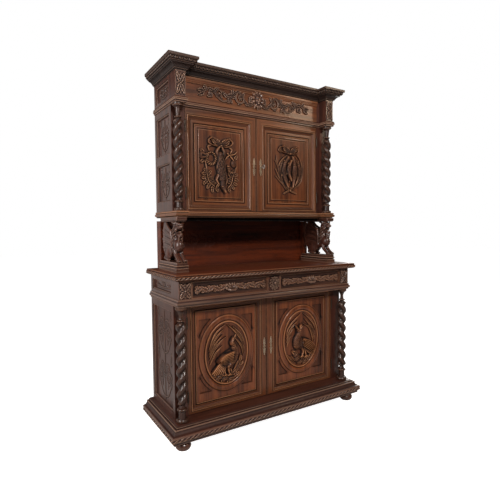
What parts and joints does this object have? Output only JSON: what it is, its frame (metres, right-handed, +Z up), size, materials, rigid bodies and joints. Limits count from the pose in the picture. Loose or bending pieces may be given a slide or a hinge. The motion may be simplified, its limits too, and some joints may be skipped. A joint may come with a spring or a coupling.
{
  "type": "buffet cabinet",
  "caption": "Tall two-tier carved oak buffet: cupboards with hinged doors, drawers, twisted columns, an open niche on winged supports, a frieze and a cornice.",
  "frame": {"origin": "on the floor, under the middle of the plinth's outline", "axes": "+X to the right as seen from the front, +Y towards the back, +Z up"},
  "size_m": [1.526, 0.564, 2.36],
  "materials": {
    "dark_oak": "dark waxed carved oak, worn bright on the edges",
    "warm_oak": "waxed reddish-brown oak",
    "plain_oak": "plain unwaxed oak of the insides and the back",
    "pale_brass": "pale rubbed brass",
    "steel": "dull filed steel"
  },
  "bodies": {
    "cabinet": {"foot_front_left": "dark_oak", "foot_front_right": "dark_oak", "foot_back_left": "dark_oak", "foot_back_right": "dark_oak", "plinth": "dark_oak", "lower_side_frame_left": "dark_oak", "lower_side_frame_right": "dark_oak", "lower_side_panel_left": "warm_oak", "lower_side_panel_right": "warm_oak", "lower_back_panel": "plain_oak", "lower_shelf": "plain_oak", "drawer_rail": "dark_oak", "drawer_moulding": "dark_oak", "buffet_top": "warm_oak", "lower_column_left": "dark_oak", "lower_column_right": "dark_oak", "pedestal_left": "dark_oak", "pedestal_right": "dark_oak", "griffin_left": "dark_oak", "griffin_right": "dark_oak", "niche_back": "dark_oak", "upper_base_board": "warm_oak", "upper_column_left": "dark_oak", "upper_column_right": "dark_oak", "upper_side_frame_left": "dark_oak", "upper_side_frame_right": "dark_oak", "upper_side_panel_left": "warm_oak", "upper_side_panel_right": "warm_oak", "upper_back_panel": "plain_oak", "upper_shelf": "plain_oak", "frieze": "warm_oak", "cornice": "dark_oak", "lower_left_hinge_lower": "steel", "lower_left_hinge_upper": "steel", "lower_right_hinge_lower": "steel", "lower_right_hinge_upper": "steel", "upper_left_hinge_lower": "steel", "upper_left_hinge_upper": "steel", "upper_right_hinge_lower": "steel", "upper_right_hinge_upper": "steel"},
    "lower_left_door": {"lower_left_door_frame": "warm_oak", "lower_left_door_panel": "warm_oak", "lower_left_escutcheon": "pale_brass"},
    "lower_right_door": {"lower_right_door_frame": "warm_oak", "lower_right_door_panel": "warm_oak", "lower_right_escutcheon": "pale_brass"},
    "upper_left_door": {"upper_left_door_frame": "warm_oak", "upper_left_door_panel": "warm_oak", "upper_left_escutcheon": "pale_brass"},
    "upper_right_door": {"upper_right_door_frame": "warm_oak", "upper_right_door_panel": "warm_oak", "upper_right_escutcheon": "pale_brass"},
    "drawer_left": {"drawer_front_left": "warm_oak", "drawer_box_left": "plain_oak", "drawer_pull_left": "dark_oak"},
    "drawer_right": {"drawer_front_right": "warm_oak", "drawer_box_right": "plain_oak", "drawer_pull_right": "dark_oak"},
    "key": {"lock_key": "steel"},
    "bolt": {"lock_bolt": "steel"}
  },
  "joints": [
    {"name": "lower_left_door_hinge", "type": "hinge", "parent": "cabinet", "child": "lower_left_door", "pos_m": [-0.59925, -0.1338, 0.5], "axis": [0, 0, -1], "range_deg": [0, 95]},
    {"name": "lower_right_door_hinge", "type": "hinge", "parent": "cabinet", "child": "lower_right_door", "pos_m": [0.59925, -0.1338, 0.5], "axis": [0, 0, 1], "range_deg": [0, 95]},
    {"name": "upper_left_door_hinge", "type": "hinge", "parent": "cabinet", "child": "upper_left_door", "pos_m": [-0.54425, -0.0238, 1.765], "axis": [0, 0, -1], "range_deg": [0, 95]},
    {"name": "upper_right_door_hinge", "type": "hinge", "parent": "cabinet", "child": "upper_right_door", "pos_m": [0.54425, -0.0238, 1.765], "axis": [0, 0, 1], "range_deg": [0, 95]},
    {"name": "drawer_left_slide", "type": "slide", "parent": "cabinet", "child": "drawer_left", "axis": [0, -1, 0], "range_m": [0, 0.3]},
    {"name": "drawer_right_slide", "type": "slide", "parent": "cabinet", "child": "drawer_right", "axis": [0, -1, 0], "range_m": [0, 0.3]},
    {"name": "key_turn", "type": "hinge", "parent": "upper_right_door", "child": "key", "pos_m": [0.03, -0.018, 1.7525], "axis": [0, 1, 0], "range_deg": [0, 190]},
    {"name": "bolt_throw", "type": "slide", "parent": "upper_right_door", "child": "bolt", "axis": [-1, 0, 0], "range_m": [0, 0.01]}
  ],
  "couplings": [
    {"joint": "key_turn", "follows": "bolt_throw", "rad_per_m": 314.16}
  ]
}
